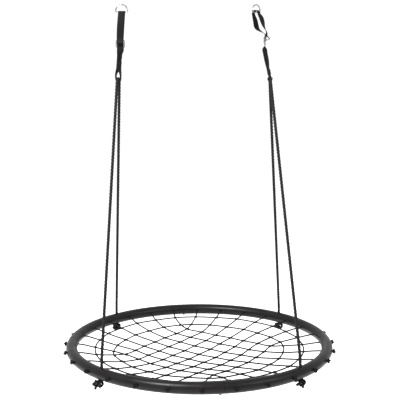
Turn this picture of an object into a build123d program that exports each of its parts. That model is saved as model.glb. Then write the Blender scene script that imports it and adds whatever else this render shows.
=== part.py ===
from build123d import *
import math
import os

# Saucer nest swing, millimetres, +Z up.
# The origin is on the swing axis, which is the line through the bars of both hanging rings,
# above the centre of the seat.  X runs along that line and Y is the direction of swinging.

# ---- seat rim -------------------------------------------------------------
rim_outer_diameter = 1000.0
tube_radius = 21.0
tube_wall = 1.5
rim_radius = rim_outer_diameter / 2 - tube_radius
rim_height = -1228.0
quarter_count = 4
quarter_angle = 360.0 / quarter_count
seam_angle = 8.4
seam_gap = 2.5
sleeve_half_length = 30.0
sleeve_clearance = 0.2
sleeve_wall = 1.5
screw_offset = 11.0
screw_shank_radius = 2.5
screw_head_radius = 5.0
screw_head_height = 3.0
screw_hole_radius = 2.8
screw_length = 9.0
screw_seat = 0.5

# ---- net ------------------------------------------------------------------
net_hole_count = 28
net_pitch = 360.0 / net_hole_count
net_cord_diameter = 5.0
net_hole_radius = 3.3
net_sag = 46.0
net_edge_radius = rim_radius - tube_radius + 1.0
side_angle = 4 * net_pitch
cell_size = 71.5
patch_bow = 0.09
patch_turn = 2.8
inner_ring_radius = 312.0
inner_ring_flare = 14.0
inner_ring_step = 13.6
inner_ring_turn = 2.4
outer_ring_radius = 395.0
outer_ring_turn = 1.2
steps = range(-3, 4)
crossing_knot_radius = 4.6
end_knot_radius = 9.6
end_knot_height = 9.5
end_knot_fillet = 4.2
knot_gap = 0.2
cord_end_inset = 4.0

# ---- ropes ----------------------------------------------------------------
rope_diameter = 10.0
rope_hole_radius = 6.5
rope_hole_angle = 45.0
rope_bend_height = 39.0
rope_bight_radius = 17.5
bight_slack = 1.0
rope_knot_radius = 19.0
rope_knot_height = 33.0
rope_knot_fillet = 14.0
rope_tail_length = 13.0
rope_tail_offset = 8.0
rope_tail_slope = 0.35
rope_end_inset = 8.0
seat_axis_height = -253.0

# ---- hanging rings, straps and slide buckles ------------------------------
ring_wire_radius = 2.25
ring_bar_half = 21.25
ring_corner_radius = 5.0
webbing_width = 25.0
webbing_thickness = 1.5
limb_end_height = 8.0
limb_straight_top = 30.0
standing_top = 18.0
standing_bottom = -20.0
standing_depth = -0.45
layer_gap = 0.1
fold_radius = 2.55
fold_end_angle = 330.0
end_layer_top = 20.0
end_layer_outer_top = 25.0
bight_width = 14.0
eye_corner_radius = 4.0
eye_shoulder_width = 20.0
stitched_length = 26.0
stitched_tip = 4.0
eye_rope_gap = 0.8
buckle_width = 33.0
buckle_height = 26.0
buckle_opening_width = 27.5
buckle_opening_height = 20.0
buckle_thickness = 2.5
buckle_back = -4.0
buckle_bar_radius = 1.5
buckle_bar_depth = 3.9
buckle_corner = 3.0

# Each side hangs from its own ring.  The turns are of the webbing's width about +Z, in degrees:
# at the ring, at the buckle, at the stitching, and at the eye, whose webbing lies along the rope
# that passes through it.  The slack limbs between ring and buckle pass through points given from
# the top down as x, y, z and turn, and the part below the buckle through x, z and turn.
sides = {
    "left": {
        "ring_x": -278.3, "buckle_x": -284.7, "eye_x": -293.5, "buckle_z": -112.0,
        "ring_turn": 180.0, "buckle_turn": 180.0, "stitched_turn": 232.0, "eye_turn": 255.0,
        "eye_top": 58.0, "eye_shoulder": 32.0, "eye_half_width": 8.5, "bulge": 9.0,
        "bridge_rise": 3.4, "shoulder": 3.4, "bridge_width": 25.0,
        "front_limb": [(-282.5, -8.0, -45.0, 180.0)],
        "back_limb": [(-282.0, 8.0, -45.0, 180.0)],
        "lower_part": [(-287.3, -146.0, 222.0), (-288.2, -160.0, 228.0)],
    },
    "right": {
        "ring_x": 204.1, "buckle_x": 237.5, "eye_x": 256.5, "buckle_z": -97.0,
        "ring_turn": -135.0, "buckle_turn": -90.0, "stitched_turn": -120.0, "eye_turn": -90.0,
        "eye_top": 29.0, "eye_shoulder": 20.0, "eye_half_width": 7.5, "bulge": 14.0,
        "bridge_rise": 7.2, "shoulder": 13.0, "bridge_width": 16.0,
        "front_limb": [(222.5, -8.5, -22.0, -135.0), (230.0, -8.0, -44.0, -122.0)],
        "back_limb": [(201.5, 8.5, -28.0, -135.0), (209.5, 7.0, -57.0, -135.0)],
        "lower_part": [(236.0, -131.0, -135.0), (238.5, -146.0, -135.0), (243.5, -170.0, -135.0)],
    },
}

# A rope's knot sits under its hole, and the front left one bulges to the outside.
knot_shifts = {"back_right": 0.0, "back_left": 0.0, "front_left": -13.0, "front_right": 0.0}

os.makedirs("parts", exist_ok=True)


def save(part, name):
    part.label = name
    export_step(part, f"parts/{name}.step")


def polar(radius, angle, height):
    """A point at a radius and an angle in degrees about the Z axis."""
    return Vector(radius * math.cos(math.radians(angle)), radius * math.sin(math.radians(angle)), height)


def net_point(radius, angle):
    """A point of the sagging net, which is a shallow paraboloid hung inside the rim."""
    return polar(radius, angle, rim_height - net_sag * (1 - (radius / net_edge_radius) ** 2))


def patch_node(across, along):
    """A crossing of the square patch in the middle of the net, whose sides bow outwards."""
    u = across * cell_size * (1 - patch_bow * (along / 3) ** 2)
    v = along * cell_size * (1 - patch_bow * (across / 3) ** 2)
    angle = side_angle - 90 + math.degrees(math.atan2(v, u)) + patch_turn
    return net_point(math.hypot(u, v), angle)


def inner_ring_node(facing, step):
    """A node of the inner ring cord on the side that faces an angle."""
    radius = inner_ring_radius + inner_ring_flare * (step / 3) ** 2
    return net_point(radius, facing + step * inner_ring_step + inner_ring_turn)


def outer_ring_node(facing, step):
    """A node of the outer ring cord on the side that faces an angle."""
    return net_point(outer_ring_radius, facing + step * net_pitch + outer_ring_turn)


def cord_end(facing, step):
    """The end of a net cord, straight through both walls of the tube, outermost point first."""
    angle = facing + step * net_pitch
    outside = polar(rim_radius + tube_radius + end_knot_height / 2, angle, rim_height)
    inside = polar(rim_radius - tube_radius - cord_end_inset, angle, rim_height)
    return [outside, inside]


def half_cord(facing, step):
    """A net cord from its knot outside the rim to the edge of the patch."""
    return cord_end(facing, step) + [outer_ring_node(facing, step), inner_ring_node(facing, step)]


def net_cord_route(family, step):
    """A cord from rim to rim: family 0 runs along the patch and family 1 across it."""
    if family == 0:
        start = half_cord(side_angle + 180, step)
        middle = [patch_node(step, other) for other in steps]
        end = half_cord(side_angle, -step)
    else:
        start = half_cord(side_angle + 90, -step)
        middle = [patch_node(other, step) for other in steps]
        end = half_cord(side_angle - 90, step)
    return start + middle + end[::-1]


def corner_radii(points, closed=False):
    """The largest tangent arcs that the runs on both sides of each corner allow."""
    radii = []
    count = len(points)
    corners = range(count) if closed else range(1, count - 1)
    for index in corners:
        before = points[index] - points[index - 1]
        after = points[(index + 1) % count] - points[index]
        turn = math.radians(before.get_angle(after))
        radii.append(0.45 * min(before.length, after.length) / math.tan(turn / 2))
    return radii


def report_cord(name, part, length, diameter, radii):
    """Print a cord's length, its tightest arc and its volume against section times length."""
    expected = math.pi * diameter ** 2 / 4 * length
    print(f"{name}: length {length:.0f}, radii {min(radii):.0f} to {max(radii):.0f}, "
          f"volume ratio {part.volume / expected:.4f}")


# ---- rim: four quarter tubes joined over inner sleeves --------------------
def tube_section(angle):
    """The plane across the tube at an angle, facing along the rim."""
    centre = polar(rim_radius, angle, rim_height)
    return Plane(origin=centre, x_dir=polar(1, angle, 0), z_dir=polar(1, angle + 90, 0))


net_hole_planes = [
    Plane(origin=polar(rim_radius, k * net_pitch, rim_height), z_dir=polar(1, k * net_pitch, 0))
    for k in range(net_hole_count)
]
rope_hole_centres = [
    polar(rim_radius, rope_hole_angle + k * quarter_angle, rim_height) for k in range(quarter_count)
]
screw_angle = math.degrees(screw_offset / rim_radius)
screw_points = [
    polar(rim_radius, seam_angle + k * quarter_angle - screw_angle, rim_height - tube_radius)
    for k in range(quarter_count)
]
gap_angle = math.degrees(seam_gap / rim_radius)
sleeve_angle = math.degrees(sleeve_half_length / rim_radius)
sleeve_radius = tube_radius - tube_wall - sleeve_clearance

for index in range(quarter_count):
    tube_start = seam_angle + index * quarter_angle + gap_angle / 2
    with BuildPart() as rim_tube:
        with BuildSketch(tube_section(tube_start)):
            Circle(tube_radius)
            Circle(tube_radius - tube_wall, mode=Mode.SUBTRACT)
        revolve(axis=Axis.Z, revolution_arc=quarter_angle - gap_angle)
        with Locations(*[plane.location for plane in net_hole_planes]):
            Cylinder(net_hole_radius, 4 * tube_radius, mode=Mode.SUBTRACT)
        with Locations(*rope_hole_centres):
            Cylinder(rope_hole_radius, 4 * tube_radius, mode=Mode.SUBTRACT)
        with Locations(*screw_points):
            Cylinder(screw_hole_radius, tube_radius, mode=Mode.SUBTRACT)
    save(rim_tube.part, f"rim_tube_{index + 1}")

for index in range(quarter_count):
    sleeve_start = seam_angle + index * quarter_angle - sleeve_angle
    with BuildPart() as rim_sleeve:
        with BuildSketch(tube_section(sleeve_start)):
            Circle(sleeve_radius)
            Circle(sleeve_radius - sleeve_wall, mode=Mode.SUBTRACT)
        revolve(axis=Axis.Z, revolution_arc=2 * sleeve_angle)
        with Locations(*screw_points):
            Cylinder(screw_hole_radius, tube_radius, mode=Mode.SUBTRACT)
    save(rim_sleeve.part, f"rim_sleeve_{index + 1}")

with BuildPart() as rim_joint_screws:
    with Locations(*[point - Vector(0, 0, screw_head_height / 2) for point in screw_points]):
        Cylinder(screw_head_radius, screw_head_height)
    chamfer(rim_joint_screws.faces().filter_by(Axis.Z).group_by(Axis.Z)[0].edges(), screw_head_height / 3)
    with Locations(*[point + Vector(0, 0, screw_length / 2 - screw_seat) for point in screw_points]):
        Cylinder(screw_shank_radius, screw_length)
save(rim_joint_screws.part, "rim_joint_screws")

# ---- net: fourteen cords from rim to rim, two ring cords and their knots ---
for family, name in enumerate(("net_cord_along", "net_cord_across")):
    for step in steps:
        route = net_cord_route(family, step)
        radii = corner_radii(route)
        with BuildPart() as net_cord:
            with BuildLine() as path:
                FilletPolyline(*route, radius=radii)
            with BuildSketch(path.line ^ 0):
                Circle(net_cord_diameter / 2)
            sweep()
        cord_name = f"{name}_{step + 4}"
        report_cord(cord_name, net_cord.part, path.wire().length, net_cord_diameter, radii)
        save(net_cord.part, cord_name)

facings = [side_angle + k * quarter_angle for k in range(quarter_count)]
for name, node in (("net_outer_ring_cord", outer_ring_node), ("net_inner_ring_cord", inner_ring_node)):
    loop = [node(facing, step) for facing in facings for step in steps]
    radii = corner_radii(loop, closed=True)
    with BuildPart() as ring_cord:
        with BuildLine() as path:
            FilletPolyline(*loop, radius=radii, close=True)
        with BuildSketch(path.line ^ 0):
            Circle(net_cord_diameter / 2)
        sweep()
    report_cord(name, ring_cord.part, path.wire().length, net_cord_diameter, radii)
    save(ring_cord.part, name)

crossings = [patch_node(across, along) for across in steps for along in steps]
crossings += [inner_ring_node(facing, step) for facing in facings for step in steps]
crossings += [outer_ring_node(facing, step) for facing in facings for step in steps]
with BuildPart() as net_crossing_knots:
    with Locations(*crossings):
        Sphere(crossing_knot_radius)
save(net_crossing_knots.part, "net_crossing_knots")

end_knot_centre = Location((0, 0, tube_radius + knot_gap + end_knot_height / 2))
with BuildPart() as net_end_knots:
    with Locations(*[plane.location * end_knot_centre for plane in net_hole_planes]):
        Cylinder(end_knot_radius, end_knot_height)
    fillet(net_end_knots.edges().filter_by(GeomType.CIRCLE), end_knot_fillet)
save(net_end_knots.part, "net_end_knots")


# ---- ropes: one on each side, over the strap's eye and down to two knots ---
def rope_route(side):
    """From inside the front knot, up the front leg, over the bight and down to the back knot."""
    forward = polar(1, side["eye_turn"], 0)
    hand = math.copysign(1, side["eye_x"])
    hole = rim_radius * math.cos(math.radians(rope_hole_angle))
    bend = Vector(hand * hole, -hole, rim_height + rope_bend_height)
    top = seat_axis_height + rope_bight_radius
    rise = Vector(0, -bend.Y, top - bend.Z)
    lean = math.atan2(rise.Y, rise.Z)
    corner = rope_bight_radius * math.tan(math.pi / 4 - lean / 2)
    end = Vector(bend.X, bend.Y, rim_height - tube_radius - rope_end_inset)
    over = Vector(side["eye_x"], 0, top)
    front = [end, bend, over + forward * corner]
    back = [over - forward * corner, Vector(bend.X, -bend.Y, bend.Z), Vector(end.X, -end.Y, end.Z)]
    return front + back


for hand, side in sides.items():
    route = rope_route(side)
    radii = corner_radii(route)
    bight = rope_bight_radius - bight_slack
    radii[1] = bight
    radii[2] = bight
    with BuildPart() as rope:
        with BuildLine() as path:
            FilletPolyline(*route, radius=radii)
        with BuildSketch(path.line ^ 0):
            Circle(rope_diameter / 2)
        sweep()
    report_cord(f"{hand}_rope", rope.part, path.wire().length, rope_diameter, radii)
    save(rope.part, f"{hand}_rope")

corner_names = ("back_right", "back_left", "front_left", "front_right")
for name, centre in zip(corner_names, rope_hole_centres):
    outward = Vector(centre.X, centre.Y, 0).normalized()
    knot_centre = centre - Vector(0, 0, tube_radius + knot_gap + rope_knot_height / 2)
    knot_centre += Vector(knot_shifts[name], 0, 0)
    tail_start = knot_centre + outward * rope_tail_offset
    tail_plane = Plane(origin=tail_start, z_dir=outward * rope_tail_slope - Vector(0, 0, 1))
    with BuildPart() as rope_knot:
        with Locations(knot_centre):
            Cylinder(rope_knot_radius, rope_knot_height)
        fillet(rope_knot.edges().filter_by(GeomType.CIRCLE), rope_knot_fillet)
        with BuildSketch(tail_plane):
            Circle(rope_diameter / 2)
        extrude(amount=rope_tail_length)
    save(rope_knot.part, f"{name}_rope_knot")

# ---- hanging rings: D-shaped, with a straight bar in the webbing ----------
for hand, side in sides.items():
    ring_turn = side["ring_turn"]
    along_bar = polar(1, ring_turn, 0)
    ring_plane = Plane(origin=(side["ring_x"], 0, 0), x_dir=along_bar, z_dir=polar(1, ring_turn - 90, 0))
    straight = ring_bar_half - ring_corner_radius
    with BuildPart() as hanging_ring:
        with BuildLine(ring_plane) as path:
            Line((-straight, 0), (straight, 0))
            CenterArc((straight, ring_corner_radius), ring_corner_radius, 270, 90)
            CenterArc((0, ring_corner_radius), ring_bar_half, 0, 180)
            CenterArc((-straight, ring_corner_radius), ring_corner_radius, 180, 90)
        with BuildSketch(path.line ^ 0):
            Circle(ring_wire_radius)
        sweep()
    save(hanging_ring.part, f"{hand}_hanging_ring")


# ---- webbing: flat bands lofted through sections along their routes -------
def band_point(base, turn, depth, height, width=webbing_width):
    """A section of webbing: its centre, the turn of its width about Z, and its width."""
    sideways = polar(1, turn + 90, 0)
    return (base + sideways * depth + Vector(0, 0, height), turn, width)


def twisted(start, end, count):
    """Sections between two others, for a stretch where the webbing twists or narrows."""
    result = []
    for index in range(1, count):
        share = index / count
        centre = start[0] + (end[0] - start[0]) * share
        turn = start[1] + (end[1] - start[1]) * share
        result.append((centre, turn, start[2] + (end[2] - start[2]) * share))
    return result


def band_sections(route):
    """Rectangles across a route of webbing, each square to the route and along its own width."""
    faces = []
    for index, (centre, turn, width) in enumerate(route):
        before = route[max(index - 1, 0)][0]
        after = route[min(index + 1, len(route) - 1)][0]
        width_direction = polar(1, turn, 0)
        thickness_direction = (after - before).cross(width_direction).normalized()
        plane = Plane(origin=centre, x_dir=width_direction, z_dir=width_direction.cross(thickness_direction))
        with BuildSketch(plane) as section:
            Rectangle(width, webbing_thickness)
        faces.append(section.sketch)
    return faces


def arc_points(base, turn, centre, radius, start, end, count, width=webbing_width):
    """Sections round an arc in the plane of depth and height."""
    result = []
    for index in range(count + 1):
        angle = math.radians(start + (end - start) * index / count)
        depth = centre[0] + radius * math.cos(angle)
        height = centre[1] + radius * math.sin(angle)
        result.append(band_point(base, turn, depth, height, width))
    return result


def strap_route(side):
    """One strap: from the sewn end, over the ring's bar, through the buckle, down to the eye."""
    ring = Vector(side["ring_x"], 0, 0)
    buckle = Vector(side["buckle_x"], 0, side["buckle_z"])
    eye = Vector(side["eye_x"], 0, seat_axis_height)
    top, middle, end = side["ring_turn"], side["buckle_turn"], side["eye_turn"]
    shoulder, narrow = side["shoulder"], side["bridge_width"]
    limb = [
        band_point(buckle, middle, buckle_bar_depth, limb_end_height),
        band_point(buckle, middle, buckle_bar_depth, limb_straight_top),
    ]
    limb += [band_point(Vector(x, y, z), turn, 0, 0) for x, y, z, turn in reversed(side["front_limb"])]
    over = arc_points(ring, top, (0, side["bridge_rise"] - shoulder), shoulder, 0, 180, 8, narrow)
    standing = [band_point(Vector(x, y, z), turn, 0, 0) for x, y, z, turn in side["back_limb"]]
    standing += [
        band_point(buckle, middle, standing_depth, standing_top),
        band_point(buckle, middle, standing_depth, standing_bottom),
    ]
    lower = [band_point(Vector(x, 0, z), turn, 0, 0) for x, z, turn in side["lower_part"]]
    shoulder_base = eye + Vector(0, 0, side["eye_shoulder"])
    hung = (shoulder_base - lower[-1][0]) / (shoulder_base.Z - lower[-1][0].Z)
    layer = (webbing_thickness + layer_gap) / 2
    stitched, half_width = side["stitched_turn"], side["eye_half_width"]
    stitched_base = shoulder_base + hung * (side["eye_top"] - side["eye_shoulder"])
    stitched_end = stitched_base + hung * stitched_length
    stitched_tip_base = stitched_end - hung * stitched_tip
    into_eye = [
        band_point(stitched_end, stitched, -layer, 0),
        band_point(stitched_base, stitched, -layer, 0),
        band_point(shoulder_base, end, -half_width, 0, eye_shoulder_width),
    ]
    rope_inside = rope_bight_radius - rope_diameter / 2
    floor_top = math.sqrt(rope_inside ** 2 - (bight_width / 2) ** 2) - eye_rope_gap
    corner_height = floor_top - webbing_thickness / 2 + eye_corner_radius
    flat = half_width - eye_corner_radius
    floor = arc_points(eye, end, (-flat, corner_height), eye_corner_radius, 180, 270, 4, bight_width)
    floor += arc_points(eye, end, (flat, corner_height), eye_corner_radius, 270, 360, 4, bight_width)
    out_of_eye = [
        band_point(shoulder_base, end, half_width, 0, eye_shoulder_width),
        band_point(stitched_base, stitched, layer, 0),
        band_point(stitched_tip_base, stitched, layer, 0),
    ]
    above = limb + twisted(limb[-1], over[0], 4) + over + twisted(over[-1], standing[0], 4)
    middle_part = standing + twisted(standing[-1], lower[0], 4) + lower
    eye_part = twisted(lower[-1], into_eye[0], 4) + into_eye + floor + out_of_eye
    return above + middle_part + eye_part


def strap_end_route(side):
    """The sewn end: a fold round the buckle's middle bar with a slack bulge in front."""
    buckle = Vector(side["buckle_x"], 0, side["buckle_z"])
    turn = side["buckle_turn"]
    bulge = side["bulge"]
    inside = buckle_bar_depth - fold_radius
    outside = buckle_bar_depth + fold_radius
    fold = arc_points(buckle, turn, (buckle_bar_depth, 0), fold_radius, 180, fold_end_angle, 5)
    return [
        band_point(buckle, turn, inside, end_layer_top),
        *fold,
        band_point(buckle, turn, bulge, 1),
        band_point(buckle, turn, bulge + 1, 4),
        band_point(buckle, turn, outside + 1, 13),
        band_point(buckle, turn, outside, 15),
        band_point(buckle, turn, outside, end_layer_outer_top),
    ]


for hand, side in sides.items():
    with BuildPart() as webbing_strap:
        loft(sections=band_sections(strap_route(side)), ruled=True)
    save(webbing_strap.part, f"{hand}_webbing_strap")

    with BuildPart() as webbing_end:
        loft(sections=band_sections(strap_end_route(side)), ruled=True)
    save(webbing_end.part, f"{hand}_webbing_end")

# ---- slide buckles: a bowed frame with a raised middle bar ----------------
for hand, side in sides.items():
    buckle_centre = Vector(side["buckle_x"], 0, side["buckle_z"])
    across = polar(1, side["buckle_turn"], 0)
    facing = polar(1, side["buckle_turn"] + 90, 0)
    back_plane = Plane(origin=buckle_centre + facing * buckle_back, x_dir=across, z_dir=facing)
    rail = (buckle_width - buckle_opening_width) / 2
    rail_centre = (buckle_width - rail) / 2
    ear_length = buckle_bar_depth - buckle_back + buckle_bar_radius
    with BuildPart() as slide_buckle:
        with BuildSketch(back_plane):
            RectangleRounded(buckle_width, buckle_height, buckle_corner)
            Rectangle(buckle_opening_width, buckle_opening_height, mode=Mode.SUBTRACT)
        extrude(amount=buckle_thickness)
        with BuildSketch(back_plane):
            with Locations((-rail_centre, 0), (rail_centre, 0)):
                Rectangle(rail, 2 * buckle_corner)
        extrude(amount=ear_length)
        with BuildSketch(Plane(origin=buckle_centre + facing * buckle_bar_depth, x_dir=facing, z_dir=across)):
            Circle(buckle_bar_radius)
        extrude(amount=rail_centre, both=True)
    save(slide_buckle.part, f"{hand}_slide_buckle")
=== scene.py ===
import math
import random

import bpy
from mathutils import Matrix, Vector


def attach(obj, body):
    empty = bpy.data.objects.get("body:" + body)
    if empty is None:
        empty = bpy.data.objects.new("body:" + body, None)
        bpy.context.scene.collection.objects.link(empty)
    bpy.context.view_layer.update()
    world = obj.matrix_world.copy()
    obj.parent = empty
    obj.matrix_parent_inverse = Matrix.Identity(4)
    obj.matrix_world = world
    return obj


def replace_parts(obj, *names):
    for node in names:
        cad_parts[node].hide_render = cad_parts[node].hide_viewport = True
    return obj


# A saucer nest swing: a round tubular rim with a knotted net, hung by two ropes from webbing straps.
# Everything is in metres, in the frame of the CAD model, whose sizes are repeated here.

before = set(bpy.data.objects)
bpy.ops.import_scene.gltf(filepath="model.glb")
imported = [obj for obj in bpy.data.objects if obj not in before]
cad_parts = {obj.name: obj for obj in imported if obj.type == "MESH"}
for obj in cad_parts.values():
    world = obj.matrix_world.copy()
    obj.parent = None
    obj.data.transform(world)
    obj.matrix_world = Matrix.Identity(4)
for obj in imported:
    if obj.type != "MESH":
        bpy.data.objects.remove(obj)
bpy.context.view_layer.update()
random.seed(11)

# ---- sizes repeated from the CAD model ------------------------------------
rim_radius = 0.479
tube_radius = 0.021
rim_height = -1.228
net_hole_count = 28
net_pitch = 360.0 / net_hole_count
net_cord_diameter = 0.005
net_cord_lengths = (0.866, 0.950, 1.000, 1.017, 1.000, 0.950, 0.866)
outer_ring_cord_length = 2.467
inner_ring_cord_length = 1.990
net_sag = 0.046
net_edge_radius = rim_radius - tube_radius + 0.001
side_angle = 4 * net_pitch
quarter_angle = 90.0
cell_size = 0.0715
patch_bow = 0.09
patch_turn = 2.8
inner_ring_radius = 0.312
inner_ring_flare = 0.014
inner_ring_step = 13.6
inner_ring_turn = 2.4
outer_ring_radius = 0.395
outer_ring_turn = 1.2
steps = range(-3, 4)
end_knot_height = 0.0095
cord_end_inset = 0.004
knot_gap = 0.0002
rope_diameter = 0.010
rope_hole_angle = 45.0
rope_bend_height = 0.039
rope_bight_radius = 0.0175
rope_knot_height = 0.033
rope_end_inset = 0.008
seat_axis_height = -0.253
webbing_width = 0.025
webbing_thickness = 0.0015
buckle_bar_depth = 0.0039
standing_depth = -0.00045
layer_gap = 0.0001
fold_radius = 0.00255
bight_width = 0.014
eye_corner_radius = 0.004
eye_shoulder_width = 0.020
stitched_length = 0.026
stitched_tip = 0.004
eye_rope_gap = 0.0008
limb_heights = (0.008, 0.019, 0.030)
standing_heights = (0.018, 0.006, -0.007, -0.018, -0.020)
end_layer_top = 0.020
end_layer_outer_top = 0.025
fold_end_angle = 330.0
rope_tail_offset = 0.008
rope_tail_slope = 0.35

sides = {
    "left": {
        "ring_x": -0.2783, "buckle_x": -0.2847, "eye_x": -0.2935, "buckle_z": -0.112,
        "ring_turn": 180.0, "buckle_turn": 180.0, "stitched_turn": 232.0, "eye_turn": 255.0,
        "eye_top": 0.058, "eye_shoulder": 0.032, "eye_half_width": 0.0085, "bulge": 0.009,
        "bridge_rise": 0.0034, "shoulder": 0.0034, "bridge_width": 0.025,
        "front_limb": [(-0.2825, -0.008, -0.045, 180.0)],
        "back_limb": [(-0.282, 0.008, -0.045, 180.0)],
        "lower_part": [(-0.2873, -0.146, 222.0), (-0.2882, -0.16, 228.0)],
    },
    "right": {
        "ring_x": 0.2041, "buckle_x": 0.2375, "eye_x": 0.2565, "buckle_z": -0.097,
        "ring_turn": -135.0, "buckle_turn": -90.0, "stitched_turn": -120.0, "eye_turn": -90.0,
        "eye_top": 0.029, "eye_shoulder": 0.02, "eye_half_width": 0.0075, "bulge": 0.014,
        "bridge_rise": 0.0072, "shoulder": 0.013, "bridge_width": 0.016,
        "front_limb": [(0.2225, -0.0085, -0.022, -135.0), (0.23, -0.008, -0.044, -122.0)],
        "back_limb": [(0.2015, 0.0085, -0.028, -135.0), (0.2095, 0.007, -0.057, -135.0)],
        "lower_part": [(0.236, -0.131, -135.0), (0.2385, -0.146, -135.0), (0.2435, -0.17, -135.0)],
    },
}

# A rope's knot sits under its hole, and the front left one bulges to the outside.
knot_shifts = {"back_right": 0.0, "back_left": 0.0, "front_left": -0.013, "front_right": 0.0}

# ---- sizes of the visual model alone --------------------------------------
# The net's braid and the ropes' strands stand out past their CAD tubes: 5.6 mm and 11.6 mm
# across, where the tubes are 5 mm and 10 mm.
weave_lift = 0.0011
braid_fullness = 1.12
rope_lay = 0.037
strand_radius = 0.0029
strand_offset = 0.0029
rope_knot_lift = 0.003
rope_knot_loop = 0.0088
rope_knot_depth = 0.0092
rope_tail_reaches = (0.006, 0.011, 0.015)
end_knot_loop = 0.0050
end_knot_depth = 0.0026
end_knot_thread = 0.0023
end_knot_tail = 0.0095
end_knot_tail_radius = 0.0022
stitch_pitch = 0.0034
stitch_rise = 0.00022
stitch_radius = 0.00028
stitched_box = 0.018
floor_height = -1.75


# ---- camera ---------------------------------------------------------------
def add_camera():
    data = bpy.data.cameras.new("camera")
    data.lens = 78.26
    data.sensor_width = 36.0
    camera = bpy.data.objects.new("camera", data)
    camera.location = (-0.0589, -3.1838, -0.2149)
    camera.rotation_euler = Vector((0.0190, 0.9893, -0.1448)).to_track_quat("-Z", "Y").to_euler()
    bpy.context.scene.collection.objects.link(camera)
    bpy.context.scene.camera = camera


add_camera()


# ---- materials ------------------------------------------------------------
class Paint:
    """A node material, with short calls for the nodes that the materials here share."""

    def __init__(self, name, roughness, metallic=0.0, specular=0.5):
        self.material = bpy.data.materials.new(name)
        self.material.use_nodes = True
        self.nodes = self.material.node_tree.nodes
        self.links = self.material.node_tree.links
        self.shader = self.nodes["Principled BSDF"]
        self.shader.inputs["Roughness"].default_value = roughness
        self.shader.inputs["Metallic"].default_value = metallic
        self.shader.inputs["Specular IOR Level"].default_value = specular

    def add(self, kind, **inputs):
        node = self.nodes.new(kind)
        for name, value in inputs.items():
            socket = node.inputs[name.replace("_", " ")]
            if isinstance(value, bpy.types.NodeSocket):
                self.links.new(value, socket)
            else:
                socket.default_value = value
        return node

    def noise(self, scale, detail=3.0, source="Object"):
        place = self.add("ShaderNodeTexCoord").outputs[source]
        return self.add("ShaderNodeTexNoise", Vector=place, Scale=scale, Detail=detail).outputs["Fac"]

    def spread(self, value, low, high):
        node = self.add("ShaderNodeMapRange", Value=value)
        node.inputs["From Min"].default_value = 0.3
        node.inputs["From Max"].default_value = 0.7
        node.inputs["To Min"].default_value = low
        node.inputs["To Max"].default_value = high
        return node.outputs["Result"]

    def tint(self, value, dark, light):
        ramp = self.add("ShaderNodeValToRGB", Fac=value)
        ramp.color_ramp.elements[0].position = 0.3
        ramp.color_ramp.elements[1].position = 0.7
        ramp.color_ramp.elements[0].color = (*dark, 1.0)
        ramp.color_ramp.elements[1].color = (*light, 1.0)
        self.links.new(ramp.outputs["Color"], self.shader.inputs["Base Color"])

    def maths(self, operation, *values):
        node = self.nodes.new("ShaderNodeMath")
        node.operation = operation
        for socket, value in zip(node.inputs, values):
            if isinstance(value, bpy.types.NodeSocket):
                self.links.new(value, socket)
            else:
                socket.default_value = value
        return node.outputs["Value"]

    def ridges(self, across, along):
        """Waves over the texture map: cycles for each unit of its first and second direction."""
        place = self.add("ShaderNodeTexCoord").outputs["UV"]
        parts = self.add("ShaderNodeSeparateXYZ", Vector=place).outputs
        turns = self.maths("MULTIPLY", parts["X"], across)
        lengths = self.maths("MULTIPLY", parts["Y"], along)
        phase = self.maths("ADD", turns, lengths)
        wave = self.maths("SINE", self.maths("MULTIPLY", phase, 2 * math.pi))
        return self.maths("MULTIPLY_ADD", wave, 0.5, 0.5)

    def bump(self, height, distance, strength=1.0):
        node = self.add("ShaderNodeBump", Height=height, Distance=distance, Strength=strength)
        self.links.new(node.outputs["Normal"], self.shader.inputs["Normal"])

    def rough(self, value, low, high):
        self.links.new(self.spread(value, low, high), self.shader.inputs["Roughness"])


def rim_paint():
    """Satin black powder coat, with its fine orange peel and a little unevenness in its gloss."""
    paint = Paint("rim_paint", 0.4, specular=0.12)
    paint.tint(paint.noise(14.0), (0.0035, 0.0031, 0.0034), (0.0065, 0.0058, 0.0063))
    paint.rough(paint.noise(38.0), 0.3, 0.42)
    paint.bump(paint.noise(900.0, 2.0), 0.00006, 0.6)
    return paint.material


def screw_paint():
    paint = Paint("black_screw", 0.35, specular=0.35)
    paint.tint(paint.noise(300.0), (0.006, 0.006, 0.007), (0.014, 0.014, 0.015))
    paint.bump(paint.noise(1500.0, 2.0), 0.00004)
    return paint.material


def rope_fibre():
    """Laid black rope: yarns that run along each strand, with a slight shine. Its colour is painted lighter
    on the yarn crowns as a painted highlight and darker between the yarns as painted shade, following the
    same heights as its bump.
    """
    paint = Paint("rope_fibre", 0.5, specular=0.14)
    yarns = paint.ridges(7.0, 90.0)
    fuzz = paint.noise(1100.0, 4.0)
    height = paint.maths("MULTIPLY_ADD", fuzz, 0.5, yarns)
    # painted highlight on the yarn crowns and painted shade between the yarns: the colour follows the yarn
    # height
    paint.tint(paint.maths("MULTIPLY", height, 0.66), (0.0008, 0.0008, 0.001), (0.009, 0.0085, 0.0095))
    paint.rough(fuzz, 0.5, 0.72)
    paint.bump(height, 0.0002)
    return paint.material


def braid_fibre():
    """Braided black cord: two families of yarns that cross round it. Its colour is painted lighter where
    the yarns stand highest as a painted highlight and darker in the grooves as painted shade.
    """
    paint = Paint("braid_fibre", 0.6, specular=0.1)
    one = paint.ridges(4.0, 210.0)
    other = paint.ridges(-4.0, 210.0)
    height = paint.maths("MAXIMUM", one, other)
    # painted highlight on the yarn crowns and painted shade in the grooves: the colour follows the yarn
    # height
    paint.tint(height, (0.0008, 0.0008, 0.0008), (0.005, 0.0047, 0.005))
    paint.rough(paint.noise(500.0), 0.55, 0.75)
    paint.bump(height, 0.00025)
    return paint.material


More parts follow.
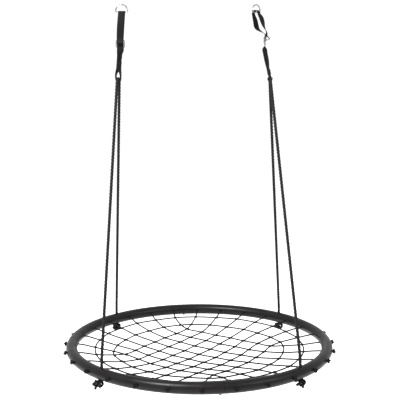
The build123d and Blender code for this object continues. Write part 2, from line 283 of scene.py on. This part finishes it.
def webbing_fibre():
    """Woven black webbing: ribs along it, crossed by the weft. Its colour is painted lighter on the rib and
    weft crowns as a painted highlight and darker between them as painted shade, with a slight random
    variation in its yarns.
    """
    paint = Paint("webbing_fibre", 0.6, specular=0.08)
    ribs = paint.ridges(620.0, 0.0)
    weft = paint.ridges(310.0, 520.0)
    height = paint.maths("ADD", paint.maths("MULTIPLY", ribs, 0.45), paint.maths("MULTIPLY", weft, 0.55))
    # painted highlight and painted shade from the weave height, times a random tone of the yarns
    painted_shade_and_yarn_tone = paint.maths("MULTIPLY", height, paint.spread(paint.noise(60.0), 0.75, 1.25))
    paint.tint(painted_shade_and_yarn_tone, (0.001, 0.001, 0.0013), (0.007, 0.0067, 0.0073))
    paint.rough(paint.noise(220.0), 0.5, 0.7)
    paint.bump(height, 0.0003)
    return paint.material


def stitch_thread():
    paint = Paint("stitch_thread", 0.5)
    # painted highlight on the ply crowns and painted shade between the plies, in twisted bands round the
    # thread
    paint.tint(paint.ridges(3.0, 900.0), (0.008, 0.008, 0.009), (0.035, 0.035, 0.037))
    paint.bump(paint.noise(2500.0), 0.0001)
    return paint.material


def ring_steel():
    """Bright zinc-plated wire, with fine drawing marks and slight clouding."""
    paint = Paint("ring_steel", 0.2, metallic=1.0)
    cloud = paint.noise(160.0, 5.0)
    paint.tint(cloud, (0.16, 0.16, 0.17), (0.36, 0.36, 0.37))
    paint.rough(cloud, 0.14, 0.32)
    paint.bump(paint.noise(1800.0, 2.0), 0.00003)
    return paint.material


# ---- meshes ---------------------------------------------------------------
def smooth(route):
    """Points along the NURBS spline that has a route's points as its control points."""
    curve = bpy.data.curves.new("route", "CURVE")
    curve.dimensions = "3D"
    spline = curve.splines.new("NURBS")
    spline.points.add(len(route) - 1)
    for point, place in zip(spline.points, route):
        point.co = (*place, 1.0)
    spline.order_u = 3
    spline.use_endpoint_u = True
    holder = bpy.data.objects.new("route", curve)
    mesh = bpy.data.meshes.new_from_object(holder)
    line = [vertex.co.copy() for vertex in mesh.vertices]
    bpy.data.meshes.remove(mesh)
    bpy.data.objects.remove(holder)
    bpy.data.curves.remove(curve)
    return line


def distances(line):
    """How far each point of a line is along it."""
    result = [0.0]
    for before, after in zip(line, line[1:]):
        result.append(result[-1] + (after - before).length)
    return result


def evenly(line, spacing):
    """The same line with its points evenly spaced."""
    along = distances(line)
    count = max(2, round(along[-1] / spacing))
    result = []
    index = 0
    for number in range(count + 1):
        wanted = along[-1] * number / count
        while index < len(line) - 2 and along[index + 1] < wanted:
            index += 1
        share = (wanted - along[index]) / max(along[index + 1] - along[index], 1e-9)
        result.append(line[index].lerp(line[index + 1], min(max(share, 0.0), 1.0)))
    return result


def directions(line):
    """The direction of a line at each of its points."""
    result = []
    for index in range(len(line)):
        before = line[max(index - 1, 0)]
        after = line[min(index + 1, len(line) - 1)]
        result.append((after - before).normalized())
    return result


def carried_sides(line):
    """A direction square to the line at each point, carried along it without twist."""
    ways = directions(line)
    side = ways[0].orthogonal().normalized()
    result = [side]
    for before, after in zip(ways, ways[1:]):
        side = before.rotation_difference(after) @ side
        side = (side - after * side.dot(after)).normalized()
        result.append(side)
    return result


class Piece:
    """Gathers tubes and bands into one mesh, with a texture map in turns and metres."""

    def __init__(self):
        self.points = []
        self.faces = []
        self.marks = []

    def skin(self, rings, around, along):
        """Faces between rings of points, with a cap at each end."""
        count = len(around)
        first = len(self.points)
        for ring in rings:
            self.points.extend(ring)
        for index in range(len(rings) - 1):
            for place in range(count):
                follow = (place + 1) % count
                low = first + index * count
                high = low + count
                self.faces.append((low + place, low + follow, high + follow, high + place))
                step = around[follow] if follow else around[place] + around[1] - around[0]
                self.marks.append([
                    (around[place], along[index]), (step, along[index]),
                    (step, along[index + 1]), (around[place], along[index + 1]),
                ])
        for ring_index in (0, len(rings) - 1):
            corners = [first + ring_index * count + place for place in range(count)]
            self.faces.append(tuple(corners if ring_index else corners[::-1]))
            self.marks.append([(around[place], along[ring_index]) for place in range(count)])

    def tube(self, line, radius, sides_around, ends=0.6):
        """A round tube along a line, whose ends are rounded off over their last points."""
        ways = directions(line)
        square = carried_sides(line)
        around = [place / sides_around for place in range(sides_around)]
        rings = []
        for index, centre in enumerate(line):
            last = index in (0, len(line) - 1)
            size = radius * (ends if last else 1.0)
            other = ways[index].cross(square[index])
            ring = []
            for share in around:
                turn = 2 * math.pi * share
                ring.append(centre + (square[index] * math.cos(turn) + other * math.sin(turn)) * size)
            rings.append(ring)
        self.skin(rings, around, distances(line))

    def laid_rope(self, line, lay=rope_lay, offset=strand_offset, radius=strand_radius, sides_around=9):
        """Three strands twisted round a line."""
        square = carried_sides(line)
        ways = directions(line)
        along = distances(line)
        for strand in range(3):
            path = []
            for centre, side, way, place in zip(line, square, ways, along):
                turn = 2 * math.pi * (strand / 3 - place / lay)
                path.append(centre + (side * math.cos(turn) + way.cross(side) * math.sin(turn)) * offset)
            self.tube(path, radius, sides_around)

    def band(self, sections, thickness):
        """Flat webbing through sections, each a centre, a width direction and a width."""
        profile = [(-1, -0.55), (-0.985, -1), (-0.5, -1), (0, -1), (0.5, -1), (0.985, -1)]
        profile += [(-across, -through) for across, through in profile]
        centres = [section[0] for section in sections]
        ways = directions(centres)
        rings = []
        for (centre, wide, width), way in zip(sections, ways):
            across_way = (wide - way * wide.dot(way)).normalized()
            through_way = way.cross(across_way)
            rings.append([
                centre + across_way * (across * width / 2) + through_way * (through * thickness / 2)
                for across, through in profile
            ])
        around = [0.0]
        for before, after in zip(profile, profile[1:]):
            reach = abs(after[0] - before[0]) * webbing_width + abs(after[1] - before[1]) * thickness
            around.append(around[-1] + reach / 2)
        self.skin(rings, around, distances(centres))

    def make(self, name, material, body):
        mesh = bpy.data.meshes.new(name)
        mesh.from_pydata(self.points, [], self.faces)
        layer = mesh.uv_layers.new(name="weave")
        flat = [value for face in self.marks for mark in face for value in mark]
        layer.data.foreach_set("uv", flat)
        mesh.materials.append(material)
        for face in mesh.polygons:
            face.use_smooth = len(face.vertices) == 4
        piece = bpy.data.objects.new(name, mesh)
        bpy.context.scene.collection.objects.link(piece)
        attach(piece, body)
        return piece


def polar(radius, angle, height):
    """A point at a radius and an angle in degrees about the Z axis."""
    return Vector((radius * math.cos(math.radians(angle)), radius * math.sin(math.radians(angle)), height))


# ---- net cords ------------------------------------------------------------
def net_point(radius, angle, lift=0.0):
    """A point of the sagging net, lifted where a cord passes over another."""
    return polar(radius, angle, rim_height - net_sag * (1 - (radius / net_edge_radius) ** 2) + lift)


def patch_node(across, along, lift=0.0):
    """A crossing of the square patch in the middle of the net, whose sides bow outwards."""
    u = across * cell_size * (1 - patch_bow * (along / 3) ** 2)
    v = along * cell_size * (1 - patch_bow * (across / 3) ** 2)
    angle = side_angle - 90 + math.degrees(math.atan2(v, u)) + patch_turn
    return net_point(math.hypot(u, v), angle, lift)


def inner_ring_node(facing, step, lift=0.0):
    radius = inner_ring_radius + inner_ring_flare * (step / 3) ** 2
    return net_point(radius, facing + step * inner_ring_step + inner_ring_turn, lift)


def outer_ring_node(facing, step, lift=0.0):
    return net_point(outer_ring_radius, facing + step * net_pitch + outer_ring_turn, lift)


def cord_end(facing, step):
    """The end of a net cord, straight through both walls of the tube, outermost point first."""
    angle = facing + step * net_pitch
    outside = polar(rim_radius + tube_radius + end_knot_height / 2, angle, rim_height)
    inside = polar(rim_radius - tube_radius - cord_end_inset, angle, rim_height)
    return [outside, inside]


def half_cord(facing, step):
    """A net cord from its knot outside the rim to the edge of the patch."""
    lift = weave_lift * (-1) ** step
    ring_nodes = [outer_ring_node(facing, step, lift), inner_ring_node(facing, step, -lift)]
    return cord_end(facing, step) + ring_nodes


def net_cord_route(family, step):
    """A cord from rim to rim: family 0 runs along the patch and family 1 across it."""
    lifts = [weave_lift * (-1) ** (step + other + family) for other in steps]
    if family == 0:
        start = half_cord(side_angle + 180, step)
        middle = [patch_node(step, other, lift) for other, lift in zip(steps, lifts)]
        end = half_cord(side_angle, -step)
    else:
        start = half_cord(side_angle + 90, -step)
        middle = [patch_node(other, step, lift) for other, lift in zip(steps, lifts)]
        end = half_cord(side_angle - 90, step)
    return start + middle + end[::-1]


def add_net_cord(name, route, material):
    """One net cord, which is a tube along its spline."""
    line = evenly(smooth(route), 0.006)
    piece = Piece()
    piece.tube(line, net_cord_diameter / 2 * braid_fullness, 10)
    cord = piece.make(f"{name}_braid", material, "seat")
    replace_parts(cord, name)
    return line


braid = braid_fibre()
net_lines = {}
for family, family_name in enumerate(("net_cord_along", "net_cord_across")):
    for step, length in zip(steps, net_cord_lengths):
        cord_name = f"{family_name}_{step + 4}"
        net_lines[cord_name] = add_net_cord(cord_name, net_cord_route(family, step), braid)

facings = [side_angle + k * quarter_angle for k in range(4)]
ring_cords = (
    ("net_outer_ring_cord", outer_ring_node, outer_ring_cord_length, -1),
    ("net_inner_ring_cord", inner_ring_node, inner_ring_cord_length, 1),
)
for name, node, length, sign in ring_cords:
    loop = [node(facing, step, sign * weave_lift * (-1) ** step) for facing in facings for step in steps]
    net_lines[name] = add_net_cord(name, loop + [loop[0]], braid)


# ---- knots of the net -----------------------------------------------------
def nearest(line, place):
    """The point of a line nearest to a place, and the line's direction there."""
    index = min(range(1, len(line) - 1), key=lambda number: (line[number] - place).length_squared)
    return line[index], (line[index + 1] - line[index - 1]).normalized()


def wrapped_knot(piece, centre, way, turns=4, spacing=0.0023, radius=0.0032, thread=0.0012):
    """A few turns of cord wound round a crossing, which hold it."""
    side = way.orthogonal().normalized()
    other = way.cross(side)
    start = random.uniform(0, 2 * math.pi)
    count = turns * 9
    line = []
    for number in range(count + 1):
        turn = start + 2 * math.pi * turns * number / count
        swell = radius * (1 + 0.12 * math.sin(math.pi * number / count))
        shift = spacing * turns * (number / count - 0.5)
        line.append(centre + way * shift + (side * math.cos(turn) + other * math.sin(turn)) * swell)
    piece.tube(line, thread, 6)


def torus_knot(turns, loops, radius, depth, count):
    """Points of a knotted loop that winds both round and through a ring."""
    line = []
    for number in range(count):
        angle = 2 * math.pi * number / count
        ring = radius + depth * math.cos(loops * angle)
        swing = turns * angle
        place = (ring * math.cos(swing), ring * math.sin(swing), depth * math.sin(loops * angle))
        line.append(Vector(place))
    return line


def placed(line, centre, axis, turn):
    """A line turned so that its Z lies along an axis, and moved to a centre."""
    rotation = axis.to_track_quat("Z", "Y").to_matrix() @ Matrix.Rotation(turn, 3, "Z")
    return [centre + rotation @ point for point in line]


crossing_knots = Piece()
for across in steps:
    for along in steps:
        line = net_lines[f"net_cord_{'along' if (across + along) % 2 else 'across'}_"
                         f"{(across if (across + along) % 2 else along) + 4}"]
        centre, way = nearest(line, patch_node(across, along))
        wrapped_knot(crossing_knots, centre, way)
for name, node in (("net_outer_ring_cord", outer_ring_node), ("net_inner_ring_cord", inner_ring_node)):
    for facing in facings:
        for step in steps:
            centre, way = nearest(net_lines[name], node(facing, step))
            wrapped_knot(crossing_knots, centre, way)
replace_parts(crossing_knots.make("net_crossing_wraps", braid, "seat"), "net_crossing_knots")

end_knots = Piece()
for index in range(net_hole_count):
    outward = polar(1, index * net_pitch, 0)
    centre = polar(rim_radius + tube_radius + knot_gap + end_knot_height / 2, index * net_pitch, rim_height)
    turn = random.uniform(0, 2 * math.pi)
    coil = torus_knot(2, 3, end_knot_loop, end_knot_depth, 72)
    coil.append(coil[0].copy())
    end_knots.tube(placed(coil, centre, outward, turn), end_knot_thread, 8)
    lean = placed([Vector((0.0, 0.0, 0.0)), Vector((0.4, 0.0, 0.9))], Vector((0, 0, 0)), outward, turn)[1]
    tail = [centre + lean * (end_knot_tail * number / 5) for number in range(6)]
    end_knots.tube(tail, end_knot_tail_radius, 8, ends=0.75)
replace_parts(end_knots.make("net_end_knot_coils", braid, "seat"), "net_end_knots")


# ---- ropes ----------------------------------------------------------------
def rope_route(side):
    """From inside the front knot, up the front leg, over the bight and down to the back knot."""
    hand = math.copysign(1, side["eye_x"])
    hole = rim_radius * math.cos(math.radians(rope_hole_angle))
    end = Vector((hand * hole, -hole, rim_height - tube_radius - rope_end_inset))
    bend = Vector((hand * hole, -hole, rim_height + rope_bend_height))
    top = seat_axis_height + rope_bight_radius
    lean = math.atan2(hole, top - bend.z)
    corner_reach = rope_bight_radius * math.tan(math.pi / 4 - lean / 2)
    forward = polar(1, side["eye_turn"], 0)
    over = Vector((side["eye_x"], 0, top))
    route = []
    for way in (1, -1):
        foot = Vector((end.x, way * end.y, end.z))
        bent = Vector((bend.x, way * bend.y, bend.z))
        corner = over + forward * way * corner_reach
        leg = (corner - bent).normalized()
        half = [foot, bent, bent + leg * (bend - end).length, corner - leg * 2 * corner_reach, corner]
        route += half if way > 0 else half[::-1]
    return route


def rope_knot(name, centre, outward, material):
    """A stopper knot under the rim: the rope wound over itself, with a short tail."""
    turn = random.uniform(0, 2 * math.pi)
    up = Vector((0, 0, 1))
    coil = torus_knot(3, 4, rope_knot_loop, rope_knot_depth, 26)
    wound = placed(coil, centre + up * rope_knot_lift, up, turn)
    down = (outward * rope_tail_slope - up).normalized()
    leave = centre + outward * rope_tail_offset
    tail = [leave + down * reach for reach in rope_tail_reaches]
    line = evenly(smooth(wound + tail), 0.0022)
    piece = Piece()
    piece.laid_rope(line, offset=0.0023, radius=0.0025)
    knot = piece.make(f"{name}_wound", material, "seat")
    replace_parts(knot, name)
    return knot


fibre = rope_fibre()
corner_names = ("back_right", "back_left", "front_left", "front_right")
for index, corner_name in enumerate(corner_names):
    angle = rope_hole_angle + index * quarter_angle
    drop = tube_radius + knot_gap + rope_knot_height / 2
    rope_knot(
        f"{corner_name}_rope_knot",
        polar(rim_radius, angle, rim_height - drop) + Vector((knot_shifts[corner_name], 0, 0)),
        polar(1, angle, 0), fibre)

for hand, side in sides.items():
    line = evenly(smooth(rope_route(side)), 0.003)
    piece = Piece()
    piece.laid_rope(line)
    rope = piece.make(f"{hand}_rope_strands", fibre, "seat")
    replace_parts(rope, f"{hand}_rope")


# ---- webbing --------------------------------------------------------------
def band_point(base, turn, depth, height, width=webbing_width):
    """A section of webbing: its centre, the turn of its width about Z, and its width."""
    return (base + polar(1, turn + 90, 0) * depth + Vector((0, 0, height)), turn, width)


def arc_points(base, turn, centre, radius, start, end, count, width=webbing_width):
    """Sections round an arc in the plane of depth and height."""
    result = []
    for index in range(count + 1):
        angle = math.radians(start + (end - start) * index / count)
        depth = centre[0] + radius * math.cos(angle)
        height = centre[1] + radius * math.sin(angle)
        result.append(band_point(base, turn, depth, height, width))
    return result


def flowing(route, spacing=0.002):
    """Sections along a smooth line through every section of a route."""
    result = []
    last = len(route) - 1
    for index in range(last):
        picks = [route[max(index - 1, 0)], route[index], route[index + 1], route[min(index + 2, last)]]
        gaps = [max((b[0] - a[0]).length, 1e-6) for a, b in zip(picks, picks[1:])]
        count = max(1, round(gaps[1] / spacing))
        for number in range(count + (index == last - 1)):
            share = number / count
            values = []
            for kind in range(3):
                p0, p1, p2, p3 = (pick[kind] for pick in picks)
                leave = (p2 - p0) * (gaps[1] / (gaps[0] + gaps[1]))
                arrive = (p3 - p1) * (gaps[1] / (gaps[1] + gaps[2]))
                s2, s3 = share ** 2, share ** 3
                values.append(p1 * (2 * s3 - 3 * s2 + 1) + leave * (s3 - 2 * s2 + share)
                              + p2 * (3 * s2 - 2 * s3) + arrive * (s3 - s2))
            result.append((values[0], polar(1, values[1], 0), values[2]))
    return result


def strap_route(side):
    """One strap: from its front limb, over the ring's bar, through the buckle, down to the eye."""
    ring = Vector((side["ring_x"], 0, 0))
    buckle = Vector((side["buckle_x"], 0, side["buckle_z"]))
    eye = Vector((side["eye_x"], 0, seat_axis_height))
    top, middle, end = side["ring_turn"], side["buckle_turn"], side["eye_turn"]
    limb = [band_point(buckle, middle, buckle_bar_depth, height) for height in limb_heights]
    limb += [band_point(Vector((x, y, z)), turn, 0, 0) for x, y, z, turn in reversed(side["front_limb"])]
    shoulder = side["shoulder"]
    arc_centre = (0, side["bridge_rise"] - shoulder)
    over = arc_points(ring, top, arc_centre, shoulder, 0, 180, 8, side["bridge_width"])
    standing = [band_point(Vector((x, y, z)), turn, 0, 0) for x, y, z, turn in side["back_limb"]]
    standing += [band_point(buckle, middle, standing_depth, height) for height in standing_heights]
    lower = [band_point(Vector((x, 0, z)), turn, 0, 0) for x, z, turn in side["lower_part"]]
    shoulder_base = eye + Vector((0, 0, side["eye_shoulder"]))
    hung = (shoulder_base - lower[-1][0]) / (shoulder_base.z - lower[-1][0].z)
    layer = (webbing_thickness + layer_gap) / 2
    stitched, half_width = side["stitched_turn"], side["eye_half_width"]
    stitched_base = shoulder_base + hung * (side["eye_top"] - side["eye_shoulder"])
    stitched_end = stitched_base + hung * stitched_length
    stitched_middle = stitched_base + hung * stitched_length / 2
    stitched_tip_base = stitched_end - hung * stitched_tip
    into_eye = [
        band_point(stitched_end, stitched, -layer, 0),
        band_point(stitched_middle, stitched, -layer, 0),
        band_point(stitched_base, stitched, -layer, 0),
        band_point(shoulder_base, end, -half_width, 0, eye_shoulder_width),
    ]
    rope_inside = rope_bight_radius - rope_diameter / 2
    floor_top = math.sqrt(rope_inside ** 2 - (bight_width / 2) ** 2) - eye_rope_gap
    corner_height = floor_top - webbing_thickness / 2 + eye_corner_radius
    flat = half_width - eye_corner_radius
    floor = arc_points(eye, end, (-flat, corner_height), eye_corner_radius, 180, 270, 4, bight_width)
    floor += arc_points(eye, end, (flat, corner_height), eye_corner_radius, 270, 360, 4, bight_width)
    out_of_eye = [
        band_point(shoulder_base, end, half_width, 0, eye_shoulder_width),
        band_point(stitched_base, stitched, layer, 0),
        band_point(stitched_middle, stitched, layer, 0),
        band_point(stitched_tip_base, stitched, layer, 0),
    ]
    return limb + over + standing + lower + into_eye + floor + out_of_eye


def strap_end_route(side):
    """The sewn end: a fold round the buckle's middle bar with a slack bulge in front."""
    buckle = Vector((side["buckle_x"], 0, side["buckle_z"]))
    turn = side["buckle_turn"]
    bulge = side["bulge"]
    outside = buckle_bar_depth + fold_radius
    return [
        band_point(buckle, turn, buckle_bar_depth - fold_radius, end_layer_top),
        *arc_points(buckle, turn, (buckle_bar_depth, 0), fold_radius, 180, fold_end_angle, 5),
        band_point(buckle, turn, bulge, 0.001),
        band_point(buckle, turn, bulge + 0.001, 0.004),
        band_point(buckle, turn, outside + 0.001, 0.013),
        band_point(buckle, turn, outside, 0.015),
        band_point(buckle, turn, outside, end_layer_outer_top),
    ]


def stitch_rows(piece, centre, wide, tall, face, width, height):
    """A sewn box with a cross in it, on one face of the webbing."""
    half = Vector((width / 2, height / 2))
    corners = [Vector((x * half.x, y * half.y)) for x, y in ((-1, -1), (1, -1), (1, 1), (-1, 1))]
    runs = list(zip(corners, corners[1:] + corners[:1]))
    runs += [(corners[0], corners[2]), (corners[1], corners[3])]
    for start, end in runs:
        count = max(1, round((end - start).length / stitch_pitch))
        for number in range(count):
            line = []
            for place in (0.12, 0.3, 0.5, 0.7, 0.88):
                flat = start.lerp(end, (number + place) / count)
                rise = stitch_rise * math.sin(math.pi * place) ** 0.5
                line.append(centre + wide * flat.x + tall * flat.y + face * rise)
            piece.tube(line, stitch_radius, 5)


webbing = webbing_fibre()
thread = stitch_thread()
for hand, side in sides.items():
    strap = Piece()
    strap.band(flowing(strap_route(side)), webbing_thickness)
    weave = strap.make(f"{hand}_strap_weave", webbing, f"{hand}_strap")
    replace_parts(weave, f"{hand}_webbing_strap")

    strap_end = Piece()
    strap_end.band(flowing(strap_end_route(side), 0.001), webbing_thickness)
    end_weave = strap_end.make(f"{hand}_strap_end_weave", webbing, f"{hand}_buckle")
    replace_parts(end_weave, f"{hand}_webbing_end")

    stitching = Piece()
    route = strap_route(side)
    wide = polar(1, side["stitched_turn"], 0)
    sideways = polar(1, side["stitched_turn"] + 90, 0)
    middle = route[-2][0] - sideways * (webbing_thickness + layer_gap) / 2
    tall = (route[-2][0] - route[-3][0]).normalized()
    for face_sign in (1, -1):
        outside = middle + sideways * face_sign * (webbing_thickness + layer_gap / 2)
        stitch_rows(stitching, outside, wide, tall, sideways * face_sign, stitched_box, stitched_box)
    stitching.make(f"{hand}_strap_stitching", thread, f"{hand}_strap")


# ---- CAD nodes that stay --------------------------------------------------
def finish_nodes(names, material):
    for name in names:
        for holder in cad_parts[name].material_slots:
            holder.material = material


finish_nodes([f"rim_tube_{k}" for k in range(1, 5)] + [f"rim_sleeve_{k}" for k in range(1, 5)], rim_paint())
finish_nodes(["rim_joint_screws"], screw_paint())
steel_names = [f"{hand}_{part}" for hand in sides for part in ("hanging_ring", "slide_buckle")]
finish_nodes(steel_names, ring_steel())


# ---- stage and light ------------------------------------------------------
def add_floor():
    mesh = bpy.data.meshes.new("floor")
    reach = 14.0
    corners = [(-reach, -reach), (reach, -reach), (reach, reach), (-reach, reach)]
    mesh.from_pydata([(x, y, floor_height) for x, y in corners], [], [(0, 1, 2, 3)])
    paint = Paint("floor", 0.9)
    paint.shader.inputs["Base Color"].default_value = (1.0, 1.0, 1.0, 1.0)
    mesh.materials.append(paint.material)
    floor = bpy.data.objects.new("floor", mesh)
    bpy.context.scene.collection.objects.link(floor)


def add_area(name, place, target, size, power):
    data = bpy.data.lights.new(name, "AREA")
    data.shape = "DISK"
    data.size = size
    data.energy = power
    light = bpy.data.objects.new(name, data)
    light.location = place
    light.rotation_euler = (Vector(target) - Vector(place)).to_track_quat("-Z", "Y").to_euler()
    bpy.context.scene.collection.objects.link(light)


def add_light():
    world = bpy.data.worlds.new("studio")
    bpy.context.scene.world = world
    world.use_nodes = True
    sky = world.node_tree.nodes["Background"]
    sky.inputs["Color"].default_value = (1.0, 1.0, 1.0, 1.0)
    sky.inputs["Strength"].default_value = 1.05
    add_area("key", (-1.6, -2.2, 2.2), (0, 0, -1.1), 0.9, 380.0)
    add_area("fill", (2.6, -1.8, 1.0), (0, 0, -1.0), 1.4, 50.0)
    bpy.context.scene.view_settings.view_transform = "Standard"


add_floor()
add_light()
